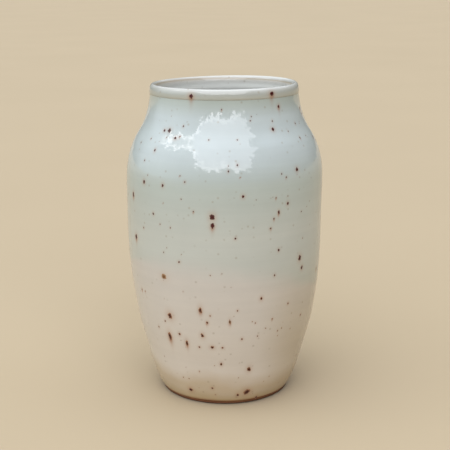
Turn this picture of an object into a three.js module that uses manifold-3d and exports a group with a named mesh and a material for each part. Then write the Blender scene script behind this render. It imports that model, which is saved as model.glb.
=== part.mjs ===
// A wheel-thrown stoneware vase: the clay body, a pale glaze coat outside, a liner coat inside and
// over the lip, and iron grains that bled through the coats in the kiln.
// Millimetres, +Z up. The origin is the middle of the foot, on the surface that the vase stands on,
// and -Y is the front.
import * as THREE from "three";
import { mergeVertices } from "three/addons/utils/BufferGeometryUtils.js";
import Module from "manifold-3d";

// Driving dimensions.
const HEIGHT = 175; // ground to the crest of the lip
const LIP_RADIUS = 39.2; // axis to the crest of the lip
const LIP_THICKNESS = 4.2;
const LIP_DROP = 4; // crest down to the widest line of the rounded lip
const LIP_TUCK = 0.2; // radians that the rounding goes on below its widest line
const LIP_TO_INSIDE = 2; // groove under the lip, outside, down to where the straight inside starts
const WALL_AT_FOOT = 7; // glazed wall, inside to outside
const WALL_AT_NECK = 4.3;
const FLOOR_TOP = 8; // height of the glazed floor inside
const FLOOR_RADIUS = 18; // flat middle of that floor
const FLOOR_BEND = 14; // height that the floor takes to turn into the wall
const COAT = 0.8; // thickness of either glaze coat
const COAT_EDGE = 0.25; // thickness of the outer coat where it was wiped back above the foot

// Outlines are [radius, height] and, joined up, run anticlockwise about the solid.
// Outside of the glazed wall, from the edge of the glaze up to the groove under the lip.
const WALL_STATIONS = [
  [37.1, 1.5],
  [40.9, 10],
  [43.8, 20],
  [46.2, 29.5],
  [49.1, 40],
  [51.6, 54],
  [53.6, 70],
  [54.6, 87],
  [54.8, 106],
  [54.9, 123], // widest, just under the turn of the shoulder
  [53.8, 134],
  [50.4, 144],
  [45.7, 152],
  [42.5, 160.5],
  [41.05, 169.4],
];

// Bare clay of the trimmed foot, from its outer edge under the glaze to the axis.
const FOOT_OUTLINE = [
  [36.4, 0.6],
  [35.6, 0],
  [28.6, 0],
  [27.2, 2.4],
  [0, 2.4],
];

const SIDES = 40; // facets round the axis; a multiple of 4 puts the widest points on X and Y
const WALL_STEPS = 20;
const LIP_STEPS = 6;
const INSIDE_STEPS = 9;
const FLOOR_STEPS = 4;

// Iron grains: turn in degrees from the front towards +X, height, width and length up the wall.
const IRON_GRAINS = [
  { turn: -24.5, height: 171.6, width: 2.0, length: 2.4 },
  { turn: 37, height: 172, width: 2.1, length: 2.1 },
  { turn: -6.5, height: 111.3, width: 2.9, length: 2.9 },
  { turn: -6.4, height: 106.8, width: 2.4, length: 2.2 },
  { turn: -14.7, height: 60, width: 2.0, length: 3.2 },
  { turn: -35.5, height: 54, width: 2.4, length: 2.6 },
  { turn: -38, height: 41, width: 1.8, length: 4.8 },
  { turn: -25.4, height: 39, width: 1.7, length: 3.0 },
  { turn: 16.5, height: 23.3, width: 2.7, length: 2.8 },
  { turn: 17, height: 8, width: 2.5, length: 2.9 },
  { turn: 47.7, height: 84.5, width: 2.1, length: 3.4 },
  { turn: -36.7, height: 76.4, width: 2.9, length: 2.3 },
  { turn: 34, height: 154, width: 1.4, length: 2.4 },
  { turn: -39.7, height: 153.4, width: 1.8, length: 1.8 },
  { turn: -51, height: 126, width: 1.7, length: 1.8 },
  { turn: -63.5, height: 117, width: 1.9, length: 2.8 },
  { turn: 44.6, height: 133, width: 1.6, length: 1.8 },
  { turn: 31, height: 112, width: 1.6, length: 2.2 },
  { turn: -61, height: 94, width: 1.6, length: 2.6 },
  { turn: 31.4, height: 91.6, width: 1.7, length: 1.9 },
  { turn: 50, height: 78.5, width: 1.7, length: 1.8 },
  { turn: 2.5, height: 53.6, width: 1.5, length: 2.6 },
  { turn: -14.4, height: 45, width: 1.8, length: 2.0 },
  { turn: -8.6, height: 38, width: 1.8, length: 1.8 },
  { turn: -28.4, height: 8.4, width: 1.8, length: 2.4 },
  { turn: 104, height: 63, width: 2.3, length: 2.8 },
  { turn: 128, height: 141, width: 1.8, length: 2.0 },
  { turn: 151, height: 96, width: 2.6, length: 2.5 },
  { turn: 176, height: 31, width: 2.0, length: 3.0 },
  { turn: -158, height: 122, width: 2.2, length: 2.4 },
  { turn: -131, height: 70, width: 1.7, length: 2.3 },
  { turn: -103, height: 35, width: 2.4, length: 2.6 },
];
const GRAIN_RISE = 0.2; // how far a grain stands proud of the glaze
const GRAIN_DEPTH = 0.55; // how far it reaches into the coat
const GRAIN_GAP = 0.03; // round a grain in its pocket
const GRAIN_SLICES = 8;
const GRAIN_RINGS = 5;

// Colours, roughness and metalness.
const CLAY = { color: 0xb98a63, roughness: 0.85, metalness: 0 };
const OUTER_GLAZE = { color: 0xc3c8c0, roughness: 0.15, metalness: 0 };
const LINER_GLAZE = { color: 0xbdb5a8, roughness: 0.18, metalness: 0 };
const IRON = { color: 0x40180e, roughness: 0.3, metalness: 0 };

const wasm = await Module();
wasm.setup();

const { degToRad, lerp, mapLinear } = THREE.MathUtils;
const point = ([radius, height]) => new THREE.Vector2(radius, height);

/** Outside of the glazed wall, upwards. */
function wallOutside() {
  return new THREE.SplineCurve(WALL_STATIONS.map(point)).getPoints(WALL_STEPS);
}

/** Radius of an upward outline at a height. */
function radiusAt(outline, height) {
  const above = Math.max(1, outline.findIndex((p) => p.y >= height));
  const [low, high] = [outline[above - 1], outline[above]];
  return mapLinear(height, low.y, high.y, low.x, high.x);
}

/** The rounded lip, over the crest from the outside to the inside. */
function lip() {
  const points = [];
  for (let i = 0; i <= LIP_STEPS; i += 1) {
    const angle = lerp(-LIP_TUCK, Math.PI + LIP_TUCK, i / LIP_STEPS);
    points.push(
      new THREE.Vector2(
        LIP_RADIUS + (LIP_THICKNESS / 2) * Math.cos(angle),
        HEIGHT - LIP_DROP + LIP_DROP * Math.sin(angle),
      ),
    );
  }
  return points;
}

/** Inside of the glazed wall and the floor, downwards from under the lip to the axis. */
function inside(outline) {
  const top = outline.at(-1).y - LIP_TO_INSIDE;
  const bottom = FLOOR_TOP + FLOOR_BEND;
  const points = [];
  for (let i = 0; i < INSIDE_STEPS; i += 1) {
    const height = lerp(top, bottom, i / INSIDE_STEPS);
    const wall = mapLinear(height, bottom, top, WALL_AT_FOOT, WALL_AT_NECK);
    points.push(new THREE.Vector2(radiusAt(outline, height) - wall, height));
  }
  const bendRadius = radiusAt(outline, bottom) - WALL_AT_FOOT;
  for (let i = 0; i <= FLOOR_STEPS; i += 1) {
    const angle = (i / FLOOR_STEPS) * (Math.PI / 2);
    points.push(
      new THREE.Vector2(
        lerp(FLOOR_RADIUS, bendRadius, Math.cos(angle)),
        FLOOR_TOP + FLOOR_BEND * (1 - Math.sin(angle)),
      ),
    );
  }
  points.push(new THREE.Vector2(0, FLOOR_TOP));
  return points;
}

/** The clay surface under a coat: each point of the skin moved in by the coat's thickness. */
function underCoat(skin) {
  return skin.map((p, i) => {
    const along = skin[Math.min(i + 1, skin.length - 1)].clone().sub(skin[Math.max(i - 1, 0)]);
    const thickness = i === 0 ? COAT_EDGE : COAT;
    const inward = new THREE.Vector2(-along.y, along.x).setLength(thickness);
    const core = p.clone().add(inward);
    return p.x === 0 ? new THREE.Vector2(0, core.y) : core;
  });
}

/** A closed solid of revolution about Z from a closed outline, or one that ends on the axis. */
function turned(outline) {
  const geometry = new THREE.LatheGeometry(outline, SIDES);
  geometry.rotateX(Math.PI / 2);
  return geometry;
}

/** A three.js geometry as a manifold solid. */
function toSolid(geometry) {
  const bare = geometry.clone();
  bare.deleteAttribute("normal");
  bare.deleteAttribute("uv");
  const merged = mergeVertices(bare, 1e-3);
  return new wasm.Manifold(
    new wasm.Mesh({
      numProp: 3,
      vertProperties: new Float32Array(merged.attributes.position.array),
      triVerts: new Uint32Array(merged.index.array),
    }),
  );
}

/** A manifold solid as a three.js geometry. */
function toGeometry(solid) {
  const { vertProperties, triVerts } = solid.getMesh();
  const geometry = new THREE.BufferGeometry();
  geometry.setAttribute("position", new THREE.BufferAttribute(vertProperties, 3));
  geometry.setIndex(new THREE.BufferAttribute(triVerts, 1));
  geometry.computeVertexNormals();
  return geometry;
}

/** A named mesh of one sub-part. */
function subPart(name, geometry, finish) {
  const mesh = new THREE.Mesh(geometry, new THREE.MeshStandardMaterial(finish));
  mesh.name = name;
  return mesh;
}

/** A flat, rounded grain with its thickness along X, grown on every side by a gap. */
function grainShape({ width, length }, gap) {
  const geometry = new THREE.SphereGeometry(1, GRAIN_SLICES, GRAIN_RINGS);
  geometry.rotateX(Math.PI / 2);
  geometry.scale((GRAIN_RISE + GRAIN_DEPTH) / 2 + gap, width / 2 + gap, length / 2 + gap);
  return geometry;
}

/** Puts a grain on the glazed skin at its turn and height, lying along the wall. */
function seatGrain(mesh, { turn, height }, skin) {
  const step = 1;
  const slope = (radiusAt(skin, height + step) - radiusAt(skin, height - step)) / (2 * step);
  const lean = Math.atan(slope);
  const angle = degToRad(turn - 90);
  const sink = (GRAIN_DEPTH - GRAIN_RISE) / 2;
  const radius = radiusAt(skin, height) - sink * Math.cos(lean);
  mesh.position.set(
    radius * Math.cos(angle),
    radius * Math.sin(angle),
    height + sink * Math.sin(lean),
  );
  mesh.rotation.set(0, lean, angle, "ZYX");
  mesh.updateMatrixWorld();
}

const wall = wallOutside();
const lipSkin = lip();
const skin = [...wall, ...lipSkin, ...inside(wall)];
const core = underCoat(skin);
const seam = wall.length - 1; // where the outer coat meets the liner coat, in the groove

const clay = turned([...FOOT_OUTLINE.map(point).reverse(), ...core]);
let outerGlaze = toSolid(
  turned([...skin.slice(0, seam + 1), ...core.slice(0, seam + 1).reverse(), skin[0]]),
);
let linerGlaze = toSolid(turned([...core.slice(seam).reverse(), ...skin.slice(seam)]));

const outsideSkin = [...wall, ...lipSkin.slice(0, LIP_STEPS / 2)];
const grains = IRON_GRAINS.map((grain, i) => {
  const name = `iron_grain_${String(i + 1).padStart(2, "0")}`;
  const mesh = subPart(name, grainShape(grain, 0), IRON);
  seatGrain(mesh, grain, outsideSkin);
  const pocket = toSolid(grainShape(grain, GRAIN_GAP).applyMatrix4(mesh.matrixWorld));
  if (grain.height > wall[seam].y) {
    linerGlaze = linerGlaze.subtract(pocket);
  } else {
    outerGlaze = outerGlaze.subtract(pocket);
  }
  return mesh;
});

const vase = new THREE.Group();
vase.add(
  subPart("clay_body", clay, CLAY),
  subPart("outer_glaze", toGeometry(outerGlaze), OUTER_GLAZE),
  subPart("liner_glaze", toGeometry(linerGlaze), LINER_GLAZE),
  ...grains,
);

export default vase;
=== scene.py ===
"""A wheel-thrown stoneware vase: pale glossy glaze, warm liner coat, toasted foot and iron specks.

Everything is in metres, +Z up, and -Y is the front. Sizes and places come from the frame.
"""
import bisect
import math
import random

import bpy
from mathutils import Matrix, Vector, noise


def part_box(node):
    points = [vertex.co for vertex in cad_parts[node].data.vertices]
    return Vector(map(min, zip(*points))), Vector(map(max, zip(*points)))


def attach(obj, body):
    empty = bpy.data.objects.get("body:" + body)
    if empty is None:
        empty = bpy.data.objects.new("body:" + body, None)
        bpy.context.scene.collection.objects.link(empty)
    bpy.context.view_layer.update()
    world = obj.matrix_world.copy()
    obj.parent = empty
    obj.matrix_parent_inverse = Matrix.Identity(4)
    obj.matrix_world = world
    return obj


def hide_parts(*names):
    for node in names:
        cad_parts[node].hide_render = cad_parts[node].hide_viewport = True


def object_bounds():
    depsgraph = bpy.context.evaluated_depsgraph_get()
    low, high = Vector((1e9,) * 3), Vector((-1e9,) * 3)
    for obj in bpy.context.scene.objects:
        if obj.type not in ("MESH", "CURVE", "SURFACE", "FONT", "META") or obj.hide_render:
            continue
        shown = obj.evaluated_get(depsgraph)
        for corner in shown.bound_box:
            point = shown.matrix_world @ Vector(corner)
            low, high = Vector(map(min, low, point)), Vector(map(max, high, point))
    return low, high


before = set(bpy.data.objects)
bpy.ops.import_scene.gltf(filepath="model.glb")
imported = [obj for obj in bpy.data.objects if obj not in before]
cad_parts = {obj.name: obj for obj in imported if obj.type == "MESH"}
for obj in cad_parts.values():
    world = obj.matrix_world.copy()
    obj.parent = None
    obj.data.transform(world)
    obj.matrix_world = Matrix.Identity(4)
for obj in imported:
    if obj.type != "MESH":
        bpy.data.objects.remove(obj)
cad_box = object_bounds()

MM = 0.001
TURN = 2 * math.pi
FRONT = -math.pi / 2  # the angle of the front, from +X

# ---------------------------------------------------------------- sizes taken from the frame

VASE_HEIGHT = cad_box[1].z
BELLY_RADIUS = cad_box[1].x
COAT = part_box("outer_glaze")[1].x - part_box("clay_body")[1].x
GLAZE_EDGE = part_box("outer_glaze")[0].z  # the outer glaze stops here, above the foot
BEAD_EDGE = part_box("outer_glaze")[1].z  # the groove where the liner coat ends, under the lip

# ---------------------------------------------------------------- the maker's hand, in metres

RING_PITCH = 8.5 * MM  # height between two throwing rings
RING_DEPTH = 0.045 * MM
INSIDE_RINGS = 3  # times deeper inside, where nobody trimmed them
OUT_OF_ROUND = 0.14 * MM
SWAY = 0.22 * MM  # how far the axis wanders sideways, most at this height and one pitch above
SWAY_HEIGHT = 45 * MM
SWAY_PITCH = 105 * MM
SOFT_WAVES = 0.06 * MM
GROOVE_HEIGHT = 138.5 * MM  # one deeper ring on the shoulder, a little lower to the right
GROOVE_TILT = 1.5 * MM
GROOVE_DEPTH = 0.05 * MM
GROOVE_WIDTH = 0.9 * MM
LIP_DIP = 0.85 * MM  # about how far the lip drops at its lowest, at the back left
LIP_DIP_TURN = math.radians(-128)  # where that is, from the front towards +X
LIP_DIP_FROM = 0.86  # share of the height where the dip starts to show
EDGE_ROLL = 1.3 * MM  # width of the rounded lower edge of the outer glaze
EDGE_WANDER = 0.45 * MM  # how far that edge wanders up
TRIM_GROOVE_DEPTH = 0.16 * MM
TRIM_GROOVE_PITCH = 3.1 * MM

AROUND = 384  # faces round the axis on the glazed surfaces
CLAY_AROUND = 192
ROW_STEP = 0.8 * MM  # height of a row of faces on the outside
INSIDE_ROW_STEP = 1.6 * MM
FINE_ROW_STEP = 0.3 * MM  # on the lip and the rolled edge
FOOT_ROW_STEP = 0.35 * MM
COVERED_ROWS = 12  # rows of the outside for each row of the outer coat's covered side
COVERED_CLAY_ROWS = 8  # and for each row of the clay under it
COVERED_LINER_ROWS = 6  # rows of the inside for each row under the liner coat
SHARP = math.radians(50)  # faces that meet at more than this keep a crisp edge


# ---------------------------------------------------------------- outlines

def meridian(node):
    """The corners of a turned CAD node on its +X side, as (radius, height)."""
    return {
        (round(v.co.x, 5), round(v.co.z, 5))
        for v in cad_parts[node].data.vertices
        if abs(v.co.y) < 1e-6 and v.co.x > -1e-6
    }


def in_order(points, start):
    """The points of an outline, each followed by the nearest one left."""
    left = set(points) - {start}
    path = [start]
    while left:
        nearest = min(left, key=lambda p: math.dist(p, path[-1]))
        left.remove(nearest)
        path.append(nearest)
    return path


def spline(points, pieces=16):
    """A dense smooth line through the points of an outline."""
    line = []
    for i in range(len(points) - 1):
        before = points[max(i - 1, 0)]
        a, b = points[i], points[i + 1]
        after = points[min(i + 2, len(points) - 1)]
        span = math.dist(a, b)
        start = math.dist(before, a) + span
        end = span + math.dist(b, after)
        tangent_a = [(q - p) * span / start for p, q in zip(before, b)]
        tangent_b = [(q - p) * span / end for p, q in zip(a, after)]
        for k in range(pieces):
            t = k / pieces
            weights = (
                2 * t**3 - 3 * t**2 + 1,
                t**3 - 2 * t**2 + t,
                -2 * t**3 + 3 * t**2,
                t**3 - t**2,
            )
            line.append(
                tuple(
                    sum(w * c for w, c in zip(weights, corner))
                    for corner in zip(a, tangent_a, b, tangent_b)
                )
            )
    line.append(points[-1])
    return line


def spaced(line, step_at):
    """The line again, with points step_at(radius, height) apart."""
    out = [line[0]]
    room = step_at(*line[0])
    for a, b in zip(line, line[1:]):
        length = math.dist(a, b)
        done = 0.0
        while length - done > room:
            done += room
            t = done / length
            out.append((a[0] + (b[0] - a[0]) * t, a[1] + (b[1] - a[1]) * t))
            room = step_at(*out[-1])
        room -= length - done
    if math.dist(out[-1], line[-1]) < 0.4 * step_at(*line[-1]):
        out.pop()
    return out + [line[-1]]


def blurred(line, passes):
    """The line with its small bends eased out. Its ends stay."""
    for _ in range(passes):
        line = (
            [line[0]]
            + [
                tuple((p + 2 * q + r) / 4 for p, q, r in zip(a, b, c))
                for a, b, c in zip(line, line[1:], line[2:])
            ]
            + [line[-1]]
        )
    return line


def normals(line):
    """The unit normals of a line that runs up the outside, as (outward, upward)."""
    out = []
    for i in range(len(line)):
        a, b = line[max(i - 1, 0)], line[min(i + 1, len(line) - 1)]
        length = math.dist(a, b)
        out.append(((b[1] - a[1]) / length, -(b[0] - a[0]) / length))
    return out


def ramp(value, low, high):
    """0 below low, 1 above high, and a smooth rise between."""
    t = min(max((value - low) / (high - low), 0.0), 1.0)
    return t * t * (3 - 2 * t)


clay_outline = meridian("clay_body")
outer_skin = sorted(meridian("outer_glaze") - clay_outline, key=lambda p: p[1])
liner_skin = in_order(meridian("liner_glaze") - clay_outline, outer_skin[-1])
foot_outline = sorted(clay_outline - meridian("outer_glaze") - meridian("liner_glaze"))

OUTSIDE = spaced(
    blurred(spaced(spline(outer_skin), lambda r, z: 0.5 * MM), 20),
    lambda r, z: FINE_ROW_STEP if z < GLAZE_EDGE + 2 * EDGE_ROLL else ROW_STEP,
)
LINER = spaced(
    spline(liner_skin),
    lambda r, z: FINE_ROW_STEP if z > BEAD_EDGE - 2 * MM else INSIDE_ROW_STEP,
)
CREST = max(range(len(LINER)), key=lambda i: LINER[i][1])
UPWARD = OUTSIDE + LINER[1:CREST]  # foot to crest, both coats
UPWARD_HEIGHTS = [z for _, z in UPWARD]
UPWARD_NORMALS = normals(UPWARD)


# ---------------------------------------------------------------- the thrown surface

def hand(height, angle, inside=False):
    """How far the maker's hand left the wall inside the true outline, in metres."""
    spot = Vector((math.cos(angle), math.sin(angle), height / BELLY_RADIUS))
    phase = height / RING_PITCH + angle / TURN + 0.6 * noise.noise(spot * 0.9)
    strength = 0.45 + 0.55 * noise.noise(Vector((0.3, 7.1, height / (26 * MM))))
    ring = RING_DEPTH * (0.5 + 0.5 * math.sin(TURN * phase)) * max(strength, 0.12)
    if inside:
        ring *= INSIDE_RINGS
    oval = OUT_OF_ROUND * (0.5 + 0.5 * noise.noise(spot * 1.1 + Vector((4, 9, 2))))
    soft = SOFT_WAVES * (0.5 + 0.5 * noise.noise(spot * 5))
    off_groove = (height - GROOVE_HEIGHT + GROOVE_TILT * math.cos(angle)) / GROOVE_WIDTH
    groove = GROOVE_DEPTH * math.exp(-off_groove**2)
    return ring + oval + soft + groove


def sway(height):
    """How far the axis stands towards +X at a height."""
    return SWAY * (0.2 + math.cos(TURN * (height - SWAY_HEIGHT) / SWAY_PITCH))


def dip(height, angle):
    """How far the lip drops at this place."""
    share = ramp(height / VASE_HEIGHT, LIP_DIP_FROM, 1.0)
    away = 0.5 + 0.5 * math.cos(angle - FRONT - LIP_DIP_TURN)
    wave = 0.06 * (1 + math.cos(3 * angle + 1.0))
    return share * LIP_DIP * (0.8 * away**3 + wave)


def place(radius, height, normal, angle, inward):
    """A point of the turned surface, moved inward along its normal."""
    r = max(radius - inward * normal[0], 0.0)
    z = height - inward * normal[1] - dip(height, angle)
    return (r * math.cos(angle) + sway(height), r * math.sin(angle), z)


def outside_at(height, angle):
    """(point, outward normal, upward tangent) of the glazed outside at a height and angle."""
    i = min(max(bisect.bisect(UPWARD_HEIGHTS, height) - 1, 0), len(UPWARD) - 2)
    low, high = UPWARD[i], UPWARD[i + 1]
    t = (height - low[1]) / (high[1] - low[1])
    radius = low[0] + (high[0] - low[0]) * t
    out, up = UPWARD_NORMALS[i]
    point = Vector(place(radius, height, (out, up), angle, hand(height, angle)))
    around = Vector((math.cos(angle), math.sin(angle), 0))
    return point, around * out + Vector((0, 0, up)), Vector((0, 0, out)) - around * up


def rows_of(line, line_normals, around, inward_at):
    """The corners of a turned surface, row by row."""
    rows = []
    for (radius, height), normal in zip(line, line_normals):
        if radius < 1e-7:
            rows.append([(sway(height), 0.0, height - inward_at(radius, height, 0.0) * normal[1])])
            continue
        row = []
        for k in range(around):
            angle = TURN * k / around
            row.append(place(radius, height, normal, angle, inward_at(radius, height, angle)))
        rows.append(row)
    return rows


def skinned(name, rows, closed):
    """A mesh object from rows of corners round the axis, whose outline runs anticlockwise.

    closed joins the last row to the first.
    """
    corners, starts = [], []
    for row in rows:
        starts.append(len(corners))
        corners.extend(row)
    faces = []
    pairs = list(zip(range(len(rows)), range(1, len(rows))))
    if closed:
        pairs.append((len(rows) - 1, 0))
    for low, high in pairs:
        around = max(len(rows[low]), len(rows[high]))
        for k in range(around):
            ring = [
                starts[low] + k % len(rows[low]),
                starts[low] + (k + 1) % len(rows[low]),
                starts[high] + (k + 1) % len(rows[high]),
                starts[high] + k % len(rows[high]),
            ]
            faces.append(list(dict.fromkeys(ring)))
    return mesh_object(name, corners, faces)


def mesh_object(name, corners, faces):
    mesh = bpy.data.meshes.new(name)
    mesh.from_pydata(corners, [], faces)
    mesh.validate()
    mesh.polygons.foreach_set("use_smooth", [True] * len(mesh.polygons))
    mesh.set_sharp_from_angle(angle=SHARP)
    mesh.update()
    piece = bpy.data.objects.new(name, mesh)
    bpy.context.scene.collection.objects.link(piece)
    return piece


def edge_lift(angle):
    """How far the wiped lower edge of the outer glaze stands above its lowest line."""
    spot = Vector((math.cos(angle), math.sin(angle), 0.0))
    return EDGE_WANDER * (0.5 + 0.5 * noise.noise(spot * 2.3))


def outer_inward(radius, height, angle):
    """The hand of the outside, and the rolled lower edge of the glaze."""
    above = height - GLAZE_EDGE - edge_lift(angle)
    roll = max(1 - above / EDGE_ROLL, 0.0)
    inward = hand(height, angle)
    if roll > 0:
        inward += COAT * (1 - math.sqrt(max(1 - min(roll, 1.0) ** 2, 0.0)))
    return inward


def lip_or_inside(radius, height, angle):
    """The hand of the lip, which is the outside's, and of the inside, which is stronger."""
    on_lip = ramp(height, BEAD_EDGE - 8 * MM, BEAD_EDGE)
    return (
        on_lip * hand(height, angle)
        + (1 - on_lip) * hand(height, angle, inside=True)
    )


def under_outer_glaze(radius, height, angle):
    return COAT + hand(height, angle)


def under_liner_glaze(radius, height, angle):
    return COAT + lip_or_inside(radius, height, angle)


def covered_liner():
    """The liner's outline in fewer points, for the surfaces under it."""
    line = [p for i, p in enumerate(LINER) if i % COVERED_LINER_ROWS == 0 or p[1] > BEAD_EDGE]
    if line[-1] != LINER[-1]:
        line.append(LINER[-1])
    return line


def make_outer_glaze():
    covered = OUTSIDE[::COVERED_ROWS] + [OUTSIDE[-1]]
    rows = rows_of(OUTSIDE, normals(OUTSIDE), AROUND, outer_inward)
    covered_rows = rows_of(covered, normals(covered), AROUND, under_outer_glaze)
    return skinned("outer_glaze_coat", rows + covered_rows[::-1], closed=True)


def make_liner_glaze():
    covered = covered_liner()
    rows = rows_of(LINER, normals(LINER), AROUND, lip_or_inside)
    covered_rows = rows_of(covered, normals(covered), AROUND, under_liner_glaze)
    return skinned("liner_glaze_coat", rows + covered_rows[::-1], closed=False)


def trimming(radius, height, angle):
    """Grooves that the trimming tool left under the foot."""
    wave = 0.5 + 0.5 * math.sin(TURN * radius / TRIM_GROOVE_PITCH + angle)
    grain = 0.5 + 0.5 * noise.noise(Vector((radius * 9e2, angle * 3, 0)))
    return TRIM_GROOVE_DEPTH * wave * grain * ramp(height, 0.5 * MM, 2 * MM)


def make_clay():
    """The bare foot, and the wall and floor that the coats cover."""
    foot = blurred(spaced(foot_outline, lambda r, z: FOOT_ROW_STEP), 6)
    wall = OUTSIDE[::COVERED_CLAY_ROWS] + [OUTSIDE[-1]]
    inner = covered_liner()
    rows = rows_of(foot, normals(foot), CLAY_AROUND, trimming)
    rows += rows_of(wall, normals(wall), CLAY_AROUND, under_outer_glaze)
    rows += rows_of(inner, normals(inner), CLAY_AROUND, under_liner_glaze)
    return skinned("clay_wall_and_foot", rows, closed=False)


# ---------------------------------------------------------------- iron specks

# Smaller specks of the front than the frame holds: turn in degrees from the front towards +X,
# height in millimetres, and size in millimetres across.
SMALL_SPECKS = (
    (43, 165, 2.0), (35, 158, 1.0), (58, 155, 1.0), (47, 152, 0.8), (56, 148, 1.0),
    (65, 148, 0.8), (19, 161, 0.8), (18, 159, 0.9), (-2, 165, 0.8), (-29, 156, 1.0),
    (-44, 153, 1.7), (-33, 150, 1.9), (-30, 151, 0.9), (-40, 150, 0.7), (-54, 148, 0.9),
    (-64, 145, 0.9), (-46, 143, 1.4), (-53, 137, 1.0), (-10, 150, 0.9), (8, 150, 0.9),
    (7, 138, 1.1), (2, 135, 1.0), (-25, 132, 0.8), (-22, 129, 1.0), (-48, 130, 0.8),
    (-36, 126, 1.5), (33, 132, 1.0), (36, 130, 1.0), (29, 120, 0.8), (37, 120, 0.8),
    (10, 122, 1.8), (37, 116, 1.6), (28, 109, 1.1), (26, 104, 1.2), (-24, 120, 0.8),
    (-43, 110, 1.4), (-17, 114, 1.0), (-52, 101, 1.0), (-38, 105, 0.8), (-31, 104, 0.8),
    (48, 110, 0.9), (6, 100, 1.2), (-36, 90, 0.8), (-26, 86, 1.3), (71, 73, 1.4),
    (-60, 64, 1.2), (-56, 64, 1.0), (-8, 80, 0.7), (29, 78, 1.2), (21, 66, 1.7),
    (40, 60, 1.2), (54, 50, 1.2), (7, 60, 1.0), (-9, 57, 1.0), (16, 53, 0.8),
    (18, 52, 0.9), (29, 53, 1.0), (-11, 53, 1.4), (-47, 45, 1.1), (-40, 50, 1.1),
    (-30, 44, 1.7), (-17, 37.6, 1.3), (-2, 38, 1.3), (10, 43, 1.2), (20, 44, 0.9),
    (25, 48, 0.9), (34, 45, 0.9), (37, 46, 0.8), (45, 44, 0.7), (-3, 27.5, 1.5),
    (-33, 16, 0.8), (-28, 16, 0.8), (-10, 11.5, 1.5), (-8, 7, 0.8), (10, 6.5, 2.0),
    (27, 3, 1.8), (-62, 3, 1.2), (65, 22, 1.0), (-19, 22, 0.7), (50, 95, 0.7),
)
BACK_SPECKS = 90  # on the side away from the front
BACK_TURNS = (72, 288)  # degrees from the front towards +X
BACK_SIZES = (0.7, 0.8, 0.9, 1.0, 1.2, 1.5)  # millimetres
FINE_SPECKS = 140  # the finest, all round
FINE_SIZES = (0.28, 0.6)  # millimetres, smallest and largest
BARE_SIZE = 1.25  # millimetres, from which a small speck shows bare iron
MOST_COVERED = 0.9  # share of the coat over the most covered of the small specks
IRON_SHARE = 0.95  # of a listed size; the rest is the stain round the speck
GRAIN_SWELL = 0.3  # share by which the larger grains grow as they melt

RUNNY = {  # how far these large grains ran down the wall, in their own lengths
    "iron_grain_01": 0.9, "iron_grain_02": 0.9, "iron_grain_04": 0.5, "iron_grain_05": 0.3,
    "iron_grain_07": 0.4, "iron_grain_08": 0.4, "iron_grain_16": 0.4, "iron_grain_18": 0.5,
    "iron_grain_19": 0.5, "iron_grain_22": 0.3, "iron_grain_26": 0.5, "iron_grain_29": 0.6,
}
MELTED = {  # how many times wider and longer these large grains melted, besides their swell
    "iron_grain_01": (1.2, 0.9), "iron_grain_02": (1.3, 1.0), "iron_grain_03": (0.8, 1.0),
    "iron_grain_04": (0.74, 1.1), "iron_grain_05": (0.9, 1.0), "iron_grain_06": (1.25, 1.25),
    "iron_grain_07": (1.5, 1.05), "iron_grain_08": (1.05, 1.25), "iron_grain_09": (0.68, 0.95),
    "iron_grain_10": (1.3, 1.25), "iron_grain_11": (1.0, 0.85), "iron_grain_12": (1.15, 1.2),
    "iron_grain_13": (1.5, 0.9), "iron_grain_14": (1.3, 1.3), "iron_grain_15": (1.1, 1.2),
    "iron_grain_17": (1.25, 1.25), "iron_grain_18": (0.85, 0.95), "iron_grain_19": (1.6, 1.2),
    "iron_grain_20": (0.72, 0.85), "iron_grain_21": (1.1, 1.3), "iron_grain_22": (0.85, 1.2),
    "iron_grain_23": (1.1, 1.25), "iron_grain_24": (1.2, 1.05), "iron_grain_25": (1.45, 1.2),
}
COVERED = {  # how far these large grains lie under the coat, as a share
    "iron_grain_12": 0.9, "iron_grain_14": 0.3, "iron_grain_22": 0.5, "iron_grain_27": 0.6,
    "iron_grain_31": 0.7,
}

BLOOM_RISE = 0.10 * MM  # how far a large grain stands proud
SMALL_RISE = 0.05  # the same for a small one, as a share of its width
BLOOM_ROOT = 0.18 * MM  # how far its rim reaches below the skin
LUMPS, SMALL_LUMPS = 0.5, 0.3  # how far a speck's outline strays from an oval, as shares
TAIL_NARROWS, TAIL_GROWS = 0.2, 0.3  # how a run changes the lower end of a speck
SPOKES, RINGS = 26, 6  # faces round a large grain, and between its middle and its rim
SMALL_SPOKES, SMALL_RINGS = 10, 3

STAIN_REACH = 1.6  # how far the stain round a speck is drawn, in its own sizes
RUN_REACH = 2.2  # and how far below it, in lengths of its run
HALO_WIDTH = 0.8  # in the speck's own sizes
HALO_LOSS = 0.6  # share of the halo that a full coat over the speck hides
RUN_WIDTH = 0.4  # in the speck's own widths


class Speck:
    """A melted grain of iron: its place on the wall, its size, and how far it ran."""

    def __init__(self, angle, height, width, length, run, rise, buried, seed):
        self.angle = angle
        self.height = height
        self.width = width
        self.length = length
        self.run = run
        self.rise = rise
        self.buried = buried  # 0 for bare iron, 1 for iron under a full coat
        self.seed = seed


def speck_of_grain(node, seed):
    """The speck that a CAD grain stands for."""
    low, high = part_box(node)
    middle = (low + high) / 2
    angle = math.atan2(middle.y, middle.x)
    side = Vector((-math.sin(angle), math.cos(angle), 0))
    across = [v.co.dot(side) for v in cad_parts[node].data.vertices]
    width = max(across) - min(across)
    length = high.z - low.z
    swell = 1 + GRAIN_SWELL * ramp(width, 1.3 * MM, 2.4 * MM)
    wider, longer = MELTED.get(node, (1.0, 1.0))
    width *= swell * wider
    length *= swell * longer
    run = RUNNY.get(node, 0.0) * length
    return Speck(angle, middle.z, width, length, run, BLOOM_RISE, COVERED.get(node, 0.0), seed)


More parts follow.
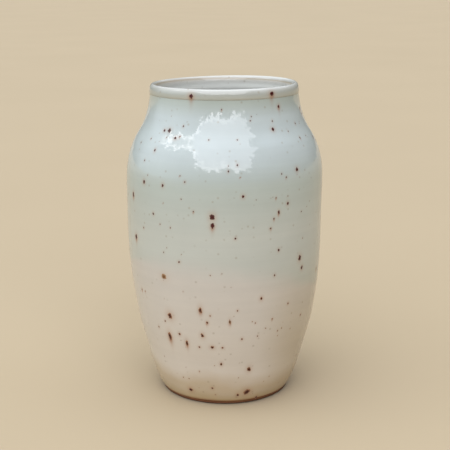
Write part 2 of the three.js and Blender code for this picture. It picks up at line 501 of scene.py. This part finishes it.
def small_specks(draw):
    """Every speck too small for the frame: the front's from the list, the others drawn."""
    places = []
    for turn, height, size in SMALL_SPECKS:
        places.append((FRONT + math.radians(turn), height * MM, size * IRON_SHARE))
    for _ in range(BACK_SPECKS):
        angle = FRONT + math.radians(draw.uniform(*BACK_TURNS))
        height = draw.uniform(0.03, 0.95) * VASE_HEIGHT
        places.append((angle, height, draw.choice(BACK_SIZES) * IRON_SHARE))
    for _ in range(FINE_SPECKS):
        angle = draw.uniform(0, TURN)
        height = draw.uniform(0.02, 0.955) * VASE_HEIGHT
        places.append((angle, height, draw.uniform(*FINE_SIZES)))
    specks = []
    for seed, (angle, height, size) in enumerate(places):
        width = size * MM
        buried = 0.9 * (BARE_SIZE * IRON_SHARE - size) + draw.uniform(-0.25, 0.25)
        buried = min(max(buried, 0.0), MOST_COVERED)
        run = width * draw.choice((0, 0, 0, 0.8))
        length = width * draw.uniform(1.0, 1.6)
        rise = SMALL_RISE * width
        specks.append(Speck(angle, height, width, length, run, rise, buried, seed))
    return specks


def speck_surface(speck, spokes, rings):
    """Corners and faces of one closed bloom on the outside, and how near its rim each corner is."""
    shift = Vector((speck.seed * 1.7, speck.seed * 0.9, 3.1))
    point, out, up = outside_at(speck.height, speck.angle)
    radius = math.hypot(point.x, point.y)
    corners, nearness = [point + out * speck.rise], [0.0]
    shares = [(k + 1) / rings for k in range(rings)] + [1.0]
    for ring, share in enumerate(shares):
        for k in range(spokes):
            turn = TURN * k / spokes
            around = Vector((math.cos(turn), math.sin(turn), 0))
            lumps = LUMPS * noise.noise(around + shift)
            small_lumps = SMALL_LUMPS * noise.noise(around * 2.1 + shift)
            reach = share * (1 + lumps + small_lumps)
            tail = max(-around.y, 0.0) * speck.run / speck.length
            across = speck.width / 2 * reach * around.x * (1 - TAIL_NARROWS * tail)
            along = speck.length / 2 * reach * around.y * (1 + TAIL_GROWS * tail)
            height = speck.height + along * up.z
            here, here_out, _ = outside_at(height, speck.angle + across / radius)
            if ring < rings:
                lift = speck.rise * (1 - share**2) - 0.25 * BLOOM_ROOT * share**6
            else:
                lift = -BLOOM_ROOT
            corners.append(here + here_out * lift)
            nearness.append(share)
    faces = [(0, 1 + k, 1 + (k + 1) % spokes) for k in range(spokes)]
    for ring in range(rings):
        base = 1 + ring * spokes
        for k in range(spokes):
            ahead = (k + 1) % spokes
            faces.append((base + k, base + spokes + k, base + spokes + ahead, base + ahead))
    base = 1 + rings * spokes
    faces.append(tuple(base + k for k in reversed(range(spokes))))
    return corners, faces, nearness


def paint(piece, **layers):
    """Stores a number for each corner of a piece, for its material to read."""
    for label, values in layers.items():
        layer = piece.data.attributes.new(label, "FLOAT", "POINT")
        layer.data.foreach_set("value", values)


def bloom_piece(name, specks, spokes, rings):
    """One piece from one or more specks."""
    corners, faces, rim, tone = [], [], [], []
    for speck in specks:
        more, more_faces, nearness = speck_surface(speck, spokes, rings)
        start = len(corners)
        corners.extend(more)
        faces.extend(tuple(start + i for i in face) for face in more_faces)
        rim.extend(nearness)
        tone.extend([speck.buried] * len(more))
    piece = mesh_object(name, corners, faces)
    paint(piece, rim=rim, tone=tone)
    return piece


def stain(piece, line, specks):
    """Paints the coat round the specks: "halo" close to them and "run" where they ran down.

    line is the outline that the piece's first rows of corners follow, a row for each point.
    """
    halo = [0.0] * len(piece.data.vertices)
    run = [0.0] * len(piece.data.vertices)
    for speck in specks:
        reach = STAIN_REACH * max(speck.width, speck.length)
        low = speck.height - reach - RUN_REACH * speck.run
        high = speck.height + reach
        point, _, up = outside_at(speck.height, speck.angle)
        radius = math.hypot(point.x, point.y)
        span = int(AROUND * reach / (TURN * radius)) + 2
        middle = round(speck.angle / TURN * AROUND)
        bare = 1 - HALO_LOSS * speck.buried
        for i, (_, height) in enumerate(line):
            if not low < height < high:
                continue
            along = (height - speck.height) / max(up.z, 0.5)
            for k in range(middle - span, middle + span + 1):
                index = i * AROUND + k % AROUND
                across = (TURN * k / AROUND - speck.angle) * radius
                far = math.hypot(across / speck.width, along / speck.length)
                halo[index] = max(halo[index], bare * math.exp(-((far / HALO_WIDTH) ** 2)))
                if along < 0 and speck.run > 0:
                    narrow = math.exp(-((across / (RUN_WIDTH * speck.width)) ** 2))
                    below = min(along + speck.length / 2, 0.0)
                    run[index] = max(run[index], narrow * math.exp(below / speck.run))
    paint(piece, halo=halo, run=run)


# ---------------------------------------------------------------- materials

class Nodes:
    """Adds nodes to a tree. A socket's value may be a number, a colour or another node's output."""

    def __init__(self, tree):
        self.tree = tree
        self.tree.nodes.clear()

    def put(self, node, socket, value):
        target = node.inputs[socket]
        if isinstance(value, bpy.types.NodeSocket):
            self.tree.links.new(value, target)
        else:
            target.default_value = value

    def add(self, kind, sockets=(), **settings):
        node = self.tree.nodes.new("ShaderNode" + kind)
        for key, value in settings.items():
            setattr(node, key, value)
        for socket, value in dict(sockets).items():
            self.put(node, socket, value)
        return node

    def place(self):
        return self.add("TexCoord").outputs["Object"]

    def split(self, vector):
        return self.add("SeparateXYZ", {"Vector": vector}).outputs

    def height(self):
        return self.split(self.place())["Z"]

    def painted(self, label):
        return self.add("Attribute", attribute_name=label).outputs["Fac"]

    def stretched(self, scale):
        return self.add("Mapping", {"Vector": self.place(), "Scale": scale}).outputs["Vector"]

    def noise(self, vector, scale, detail=2.0, roughness=0.5):
        sockets = {"Vector": vector, "Scale": scale, "Detail": detail, "Roughness": roughness}
        return self.add("TexNoise", sockets).outputs["Fac"]

    def calc(self, operation, a, b=0.0):
        return self.add("Math", {0: a, 1: b}, operation=operation).outputs[0]

    def fade(self, value, low, high, to_low=0.0, to_high=1.0):
        sockets = {"Value": value, 1: low, 2: high, 3: to_low, 4: to_high}
        return self.add("MapRange", sockets, interpolation_type="SMOOTHSTEP").outputs["Result"]

    def mix(self, share, a, b, blend="MIX"):
        sockets = {0: share, 6: a, 7: b}
        return self.add("Mix", sockets, data_type="RGBA", blend_type=blend).outputs[2]

    def blend(self, value, stops):
        """A colour that changes with a value, from stops of (value, colour)."""
        node = self.add("ValToRGB", {"Fac": value})
        elements = node.color_ramp.elements
        while len(elements) < len(stops):
            elements.new(0.5)
        for element, (position, shade) in zip(elements, stops):
            element.position = position
            element.color = shade
        return node.outputs["Color"]

    def bump(self, height, distance, strength=1.0):
        sockets = {"Height": height, "Distance": distance, "Strength": strength}
        return self.add("Bump", sockets).outputs["Normal"]


class Shader(Nodes):
    """A material that ends in one Principled surface."""

    def __init__(self, name, **surface):
        self.material = bpy.data.materials.new(name)
        self.material.use_nodes = True
        super().__init__(self.material.node_tree)
        self.surface = self.add("BsdfPrincipled")
        self.add("OutputMaterial", {"Surface": self.surface.outputs[0]})
        for socket, value in surface.items():
            self.put(self.surface, socket.replace("_", " "), value)

    def finish(self, **surface):
        for socket, value in surface.items():
            self.put(self.surface, socket.replace("_", " "), value)
        return self.material


def grey(level):
    return (level, level, level, 1.0)


def colour(red, green, blue):
    """A colour from its red, green and blue out of 255, as linear light."""
    shares = [c / 255 for c in (red, green, blue)]
    return (*(s / 12.92 if s < 0.04 else ((s + 0.055) / 1.055) ** 2.4 for s in shares), 1.0)


def up_wall(*stops):
    """Stops of (height in millimetres, colour) as shares of the vase's height."""
    return [(height * MM / VASE_HEIGHT, shade) for height, shade in stops]


TAN = colour(190, 173, 148)
OATMEAL = colour(205, 196, 184)
CELADON = colour(185, 188, 180)
# Bluer for the shoulder: partly the glaze's own tint, partly a painted cool sky tint.
SKY_TINTED_CELADON = colour(185, 195, 196)

# The glaze below and above the edge of the painted table reflection: partly its own tint and partly
# painted light, with warm bounce painted below and a cool sky tint painted on the shoulder.
LOWER_GLAZE_AND_WARM_BOUNCE = up_wall(
    (1.6, colour(110, 65, 35)),
    (2.6, colour(160, 120, 80)),
    (4, colour(185, 165, 130)),
    (8, TAN),
    (12, TAN),
    (22, OATMEAL),
    (90, colour(193, 188, 180)),
)
UPPER_GLAZE_AND_SKY_TINT = up_wall(
    (100, CELADON),
    (125, colour(175, 184, 178)),
    (140, SKY_TINTED_CELADON),
    (160, SKY_TINTED_CELADON),
    (169.4, colour(170, 178, 170)),
)
# The lip's glaze up to its crest; its lighter top stops are a painted highlight along the crest.
LIP_GLAZE_AND_CREST_HIGHLIGHT = up_wall(
    (169.4, colour(170, 174, 165)),
    (170.3, colour(172, 175, 166)),
    (172, colour(171, 174, 167)),
    (174.2, colour(190, 192, 188)),
    (174.8, colour(212, 215, 213)),
)
INSIDE_GLAZE = up_wall(
    (8, colour(184, 172, 156)),
    (35, colour(212, 209, 203)),
    (170, colour(215, 216, 210)),
    (172.1, colour(204, 201, 193)),
    (172.9, colour(180, 167, 146)),
    (173.7, colour(194, 194, 189)),
    # lighter at the crest: painted highlight
    (174.8, colour(210, 213, 210)),
)
GLAZE_IOR = 1.6
THIN_GLAZE = colour(190, 168, 142)  # where the liner coat is so thin that the clay warms it
THIN_SHARE = 0.2
LOW_RIGHT_SHADE = colour(240, 234, 221)  # painted shade: darkens and warms the lower wall on the +X side
LOW_RIGHT_SHADE_HEIGHTS = (32 * MM, 100 * MM)  # all of it below the first height, none above the second
LOW_RIGHT_SHADE_SIDE = (14 * MM, 40 * MM)  # none of it left of the first x, all right of the second

CLOUDS, BANDS = 0.022, 0.02  # how much darker and lighter the coats go, as shares
PEPPER, PEPPER_SHARE = colour(146, 132, 108), 0.36
HALO, HALO_SHARE = colour(168, 122, 86), 0.45
RUN, RUN_SHARE = colour(152, 100, 66), 0.75

# Bare iron from the middle of a speck to its rim, above and below the edge of the painted table
# reflection.
DARK_IRON = (
    (0.0, colour(82, 26, 28)),
    (0.45, colour(60, 22, 22)),
    (0.8, colour(84, 42, 38)),
    (1.0, colour(124, 92, 76)),
)
BROWN_IRON = (
    (0.0, colour(50, 24, 24)),
    (0.4, colour(74, 38, 30)),
    (0.75, colour(134, 88, 58)),
    (1.0, colour(174, 136, 100)),
)
# The same for iron under the coat.
SMOKY_IRON = ((0.2, colour(70, 62, 54)), (1.0, colour(132, 130, 116)))
TOASTED_IRON = ((0.2, colour(112, 78, 50)), (1.0, colour(174, 142, 106)))

# A painted reflection of a table's edge: across it the glaze turns warmer below and cooler above,
# soft at the front and back and crisp at the sides.
TABLE_EDGE_LINE = 66 * MM  # middle height of the edge of a painted reflection of a table's edge
TABLE_EDGE_TILT = 18 * MM  # how far the edge rises from its middle to its highest side
TABLE_EDGE_TURN = math.radians(-25)  # where that side is, from the front towards +X
TABLE_EDGE_WAVE = 7 * MM  # how far the edge wanders up and down, from end to end
TABLE_EDGE_SOFT = 8 * MM  # half the width over which it fades at the front and the back
TABLE_EDGE_CRISP = 2 * MM  # and at the sides
FOOT_WANDER = 4 * MM  # how far the warm colour near the foot wanders up and down


def above_table_reflection(shader):
    """1 above the wavy, tilted edge of a painted reflection of a table's edge, and 0 below."""
    place = shader.place()
    x, y, z = shader.split(place)
    slope = TABLE_EDGE_TILT / BELLY_RADIUS
    side = shader.calc("MULTIPLY", x, math.cos(FRONT + TABLE_EDGE_TURN) * slope)
    front = shader.calc("MULTIPLY", y, math.sin(FRONT + TABLE_EDGE_TURN) * slope)
    wave = shader.calc("MULTIPLY", shader.noise(place, 34.0, 3.0), TABLE_EDGE_WAVE)
    edge = shader.calc("ADD", shader.calc("ADD", side, front), wave)
    above = shader.calc("SUBTRACT", z, shader.calc("ADD", edge, TABLE_EDGE_LINE - TABLE_EDGE_WAVE / 2))
    aside = shader.calc("ABSOLUTE", x)
    reach = shader.fade(aside, 0.55 * BELLY_RADIUS, 0.95 * BELLY_RADIUS, TABLE_EDGE_SOFT, TABLE_EDGE_CRISP)
    return shader.fade(above, shader.calc("MULTIPLY", reach, -1.0), reach)


def clouded(shader, base, pattern, depth):
    """The base colour, darker and lighter by a pattern that goes from 0 to 1."""
    shade = shader.blend(pattern, ((0.3, grey(1 - depth)), (0.7, grey(1 + depth))))
    return shader.mix(1.0, base, shade, "MULTIPLY")


def glaze(shader, base):
    """Adds what both coats show: clouding, thrown bands, fine pepper, and stains round iron."""
    place = shader.place()
    clouds = shader.noise(place, 42.0, 4.0, 0.6)
    bands = shader.noise(shader.stretched((6.0, 6.0, 240.0)), 1.0, 3.0, 0.6)
    base = clouded(shader, base, clouds, CLOUDS)
    base = clouded(shader, base, bands, BANDS)
    cells = shader.add("TexVoronoi", {"Vector": place, "Scale": 330.0}).outputs
    near = shader.fade(cells["Distance"], 0.10, 0.30, 1.0, 0.0)
    draw = shader.split(cells["Color"])["X"]
    pepper = shader.calc("MULTIPLY", near, shader.fade(draw, 0.80, 0.92, 0.0, PEPPER_SHARE))
    base = shader.mix(pepper, base, PEPPER)
    base = shader.mix(shader.calc("MULTIPLY", shader.painted("halo"), HALO_SHARE), base, HALO)
    base = shader.mix(shader.calc("MULTIPLY", shader.painted("run"), RUN_SHARE), base, RUN)
    gloss = shader.fade(shader.noise(place, 90.0, 3.0), 0.3, 0.7, 0.02, 0.05)
    peel = shader.bump(shader.noise(place, 300.0, 2.0), 0.01 * MM, 0.5)
    return shader.finish(Base_Color=base, Roughness=gloss, Normal=peel)


def outer_glaze_material():
    shader = Shader("celadon_glaze", IOR=GLAZE_IOR)
    place = shader.place()
    x, _, z = shader.split(place)
    share = shader.calc("DIVIDE", z, VASE_HEIGHT)
    wander = shader.fade(shader.noise(place, 22.0, 3.0), 0.25, 0.75, -FOOT_WANDER, FOOT_WANDER)
    wander = shader.calc("MULTIPLY", wander, shader.fade(z, GLAZE_EDGE, 12 * MM))
    uneven_share = shader.calc("ADD", share, shader.calc("DIVIDE", wander, VASE_HEIGHT))
    # Warmer below the painted table-reflection edge and cooler above it: partly the glaze's own
    # tint, partly painted light.
    lower_tint = shader.blend(uneven_share, LOWER_GLAZE_AND_WARM_BOUNCE)
    upper_tint = shader.blend(share, UPPER_GLAZE_AND_SKY_TINT)
    base = shader.mix(above_table_reflection(shader), lower_tint, upper_tint)
    # Painted shade on the lower +X side of the wall: darker and warmer.
    low = shader.fade(z, *LOW_RIGHT_SHADE_HEIGHTS, 1.0, 0.0)
    toward_shaded_side = shader.fade(x, *LOW_RIGHT_SHADE_SIDE)
    base = shader.mix(shader.calc("MULTIPLY", low, toward_shaded_side), base, LOW_RIGHT_SHADE, "MULTIPLY")
    return glaze(shader, base)


def liner_glaze_material():
    shader = Shader("liner_glaze", IOR=GLAZE_IOR)
    place = shader.place()
    x, y, z = shader.split(place)
    share = shader.calc("DIVIDE", z, VASE_HEIGHT)
    squares = shader.calc("ADD", shader.calc("MULTIPLY", x, x), shader.calc("MULTIPLY", y, y))
    radius = shader.calc("SQRT", squares)
    crest = LINER[CREST][0]
    outward = shader.fade(radius, crest - 0.8 * MM, crest + 0.8 * MM)
    base = shader.mix(outward, shader.blend(share, INSIDE_GLAZE), shader.blend(share, LIP_GLAZE_AND_CREST_HIGHLIGHT))
    above = shader.fade(z, BEAD_EDGE, BEAD_EDGE + 1.6 * MM, 1.0, 0.0)
    patches = shader.fade(shader.noise(place, 30.0, 2.0), 0.40, 0.62)
    thin = shader.calc("MULTIPLY", shader.calc("MULTIPLY", above, outward), patches)
    base = shader.mix(shader.calc("MULTIPLY", thin, THIN_SHARE), base, THIN_GLAZE)
    return glaze(shader, base)


def clay_material():
    shader = Shader("toasted_stoneware", Roughness=0.85)
    place = shader.place()
    grit = shader.noise(place, 900.0, 6.0, 0.7)
    toast = shader.fade(shader.noise(place, 60.0, 3.0), 0.35, 0.65)
    base = shader.mix(toast, colour(132, 84, 52), colour(168, 120, 82))
    # The lowest millimetre of the foot goes near black: a painted contact shadow where the foot
    # meets the floor.
    rim = shader.fade(shader.height(), 0.4 * MM, 1.3 * MM)
    base = shader.mix(0.88, base, shader.mix(rim, colour(20, 8, 2), colour(112, 68, 38)))
    base = shader.mix(shader.fade(grit, 0.62, 0.72), base, colour(90, 58, 42))
    return shader.finish(Base_Color=base, Normal=shader.bump(grit, 0.15 * MM, 0.8))


def iron_material():
    shader = Shader("melted_iron", IOR=1.5)
    flow = shader.noise(shader.place(), 1500.0, 3.0)
    rim = shader.calc("ADD", shader.painted("rim"), shader.fade(flow, 0.0, 1.0, -0.35, 0.35))
    # The iron changes colour at the edge of the painted table reflection, as the glaze round it
    # does.
    above_reflected_edge = above_table_reflection(shader)
    bare = shader.mix(above_reflected_edge, shader.blend(rim, BROWN_IRON), shader.blend(rim, DARK_IRON))
    covered = shader.mix(
        above_reflected_edge, shader.blend(rim, TOASTED_IRON), shader.blend(rim, SMOKY_IRON)
    )
    base = shader.mix(shader.painted("tone"), bare, covered)
    return shader.finish(
        Base_Color=base,
        Roughness=shader.fade(rim, 0.2, 1.0, 0.22, 0.45),
        Normal=shader.bump(flow, 0.03 * MM, 0.5),
    )


# ---------------------------------------------------------------- pieces

def dress(piece, slot, material, *nodes):
    """Gives a piece its finish and body, and hides the CAD nodes it stands for."""
    piece.data.materials.append(material)
    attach(piece, "root")
    if nodes:
        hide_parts(*nodes)
    return piece


def make_vase():
    draw = random.Random(7)
    grain_nodes = sorted(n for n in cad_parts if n.startswith("iron_grain_"))
    grains = [speck_of_grain(node, i) for i, node in enumerate(grain_nodes)]
    small = small_specks(draw)

    dress(make_clay(), "clay", clay_material(), "clay_body")
    outer = dress(make_outer_glaze(), "outer_glaze", outer_glaze_material(), "outer_glaze")
    liner = dress(make_liner_glaze(), "liner_glaze", liner_glaze_material(), "liner_glaze")
    stain(outer, OUTSIDE, grains + small)
    stain(liner, LINER[:CREST], grains + small)

    iron = iron_material()
    for node, speck in zip(grain_nodes, grains):
        name = node.replace("grain", "bloom")
        dress(bloom_piece(name, [speck], SPOKES, RINGS), "iron", iron, node)
    dress(bloom_piece("iron_specks_small", small, SMALL_SPOKES, SMALL_RINGS), "iron", iron)


make_vase()


# ---------------------------------------------------------------- studio

CAMERA_PLACE = (0.0002, -0.5579, 0.2324)
CAMERA_DOWN = math.radians(13.96)
CAMERA_ROLL = math.radians(-0.31)
LENS = 80.9  # mm, on a 36 mm sensor

# The studio is a soft dome. Turns and elevations are in degrees, turns from the front towards +X.
DOME_STRENGTH = 2.15
BRIGHT_EDGE = (  # (turn, elevation) of the lower edge of its bright part
    (-180, 24), (-115, 30), (-95, 33), (-78, 33), (-60, 40), (-50, 38), (-40, 29), (-29, 18),
    (-16, 17), (-4, 18), (-1.5, 26), (2, 26), (5, 18), (26, 14), (31, 26), (43, 38), (50, 55),
    (110, 55), (130, 30), (180, 24),
)
BRIGHT = (  # (turn, colour) above that edge
    (-180, grey(0.3)), (-110, grey(0.4)), (-56, grey(0.5)), (-46, (1.14, 1.18, 1.29, 1.0)),
    (35, (1.12, 1.15, 1.24, 1.0)), (75, (0.90, 0.92, 0.97, 1.0)), (130, grey(0.3)),
    (180, grey(0.3)),
)
GLOW = (  # added just above the edge, up to GLOW_REACH
    (-180, grey(0.0)), (-105, grey(0.0)), (-94, grey(2.2)), (-52, grey(2.0)), (-40, grey(1.4)),
    (-10, grey(1.0)), (10, grey(0.9)), (30, grey(0.4)), (60, grey(0.0)), (180, grey(0.0)),
)
GLOW_REACH = 10.0
DIM = (  # (turn, colour) below the edge
    (-180, (0.07, 0.07, 0.055, 1.0)), (-130, (0.07, 0.075, 0.06, 1.0)),
    (-112, (0.42, 0.48, 0.52, 1.0)), (-78, (0.42, 0.48, 0.52, 1.0)), (-30, grey(0.05)),
    (45, grey(0.05)), (60, (0.05, 0.045, 0.03, 1.0)), (180, (0.07, 0.07, 0.055, 1.0)),
)
HAZE = (  # added below the edge, high up on the right
    (-180, grey(0.0)), (50, grey(0.0)), (68, (0.30, 0.34, 0.42, 1.0)),
    (110, (0.30, 0.34, 0.42, 1.0)), (135, grey(0.0)), (180, grey(0.0)),
)
HAZE_FROM, HAZE_ALL = 22, 48  # elevations between which it comes in
TOP = grey(1.05)
TOP_FROM, TOP_ALL = 54, 62  # elevations between which the dome turns into its even top
EDGE_SOFT = 0.6  # half the width over which the bright part begins
EDGE_RAGGED = 4.0  # how far its edge wanders up and down
EDGE_JITTER = 5.0  # and round the dome
FLOOR_REACH = 30.0
FLOOR_SIDES = 64


def make_camera():
    camera = bpy.data.objects.new("camera", bpy.data.cameras.new("camera"))
    camera.data.lens = LENS
    camera.data.sensor_width = 36.0
    camera.location = CAMERA_PLACE
    camera.rotation_euler = (math.pi / 2 - CAMERA_DOWN, 0.0, 0.0)
    camera.rotation_euler.rotate_axis("Z", CAMERA_ROLL)
    bpy.context.scene.collection.objects.link(camera)
    bpy.context.scene.camera = camera


def by_turn(stops):
    """Stops of (turn, colour) as shares of a full circle that starts at the back."""
    return [(turn / 360 + 0.5, shade) for turn, shade in stops]


def make_dome():
    world = bpy.data.worlds.new("studio")
    world.use_nodes = True
    dome = Nodes(world.node_tree)
    direction = dome.add("TexCoord").outputs["Generated"]
    x, y, z = dome.split(direction)
    round_share = dome.calc("ARCTAN2", x, dome.calc("MULTIPLY", y, -1.0))
    round_share = dome.calc("ADD", dome.calc("DIVIDE", round_share, TURN), 0.5)
    wander = dome.noise(direction, 11.0, 2.5, 0.6)
    jitter = dome.fade(wander, 0.35, 0.65, -EDGE_JITTER, EDGE_JITTER)
    jagged_share = dome.calc("ADD", round_share, dome.calc("DIVIDE", jitter, 360.0))
    elevation = dome.calc("MULTIPLY", dome.calc("ARCSINE", z), 180 / math.pi)
    edge = dome.blend(jagged_share, by_turn((turn, grey(up / 90)) for turn, up in BRIGHT_EDGE))
    rise = dome.noise(direction, 9.0, 2.5, 0.6)
    ragged = dome.fade(rise, 0.35, 0.65, -EDGE_RAGGED, EDGE_RAGGED)
    above = dome.calc("SUBTRACT", elevation, dome.calc("MULTIPLY", edge, 90.0))
    above = dome.calc("ADD", above, ragged)
    glow_end = dome.fade(above, 0.0, GLOW_REACH)
    glow = dome.mix(glow_end, dome.blend(round_share, by_turn(GLOW)), grey(0.0))
    bright = dome.mix(1.0, dome.blend(round_share, by_turn(BRIGHT)), glow, "ADD")
    haze_share = dome.fade(elevation, HAZE_FROM, HAZE_ALL)
    haze = dome.mix(haze_share, grey(0.0), dome.blend(round_share, by_turn(HAZE)))
    dim = dome.mix(1.0, dome.blend(round_share, by_turn(DIM)), haze, "ADD")
    light = dome.mix(dome.fade(above, -EDGE_SOFT, EDGE_SOFT), dim, bright)
    light = dome.mix(dome.fade(elevation, TOP_FROM, TOP_ALL), light, TOP)
    background = dome.add("Background", {"Color": light, "Strength": DOME_STRENGTH})
    dome.add("OutputWorld", {"Surface": background.outputs[0]})
    bpy.context.scene.world = world


def make_floor():
    corners = [(0.0, 0.0, 0.0)]
    for k in range(FLOOR_SIDES):
        angle = TURN * k / FLOOR_SIDES
        corners.append((FLOOR_REACH * math.cos(angle), FLOOR_REACH * math.sin(angle), 0.0))
    faces = [(0, 1 + k, 1 + (k + 1) % FLOOR_SIDES) for k in range(FLOOR_SIDES)]
    floor = mesh_object("floor", corners, faces)
    shader = Shader("pale_floor", Roughness=0.75)
    cloud = shader.noise(shader.place(), 3.0, 2.0)
    base = shader.mix(cloud, colour(179, 163, 136), colour(185, 169, 142))
    floor.data.materials.append(shader.finish(Base_Color=base))


make_camera()
make_dome()
make_floor()
bpy.context.scene.view_settings.view_transform = "Standard"
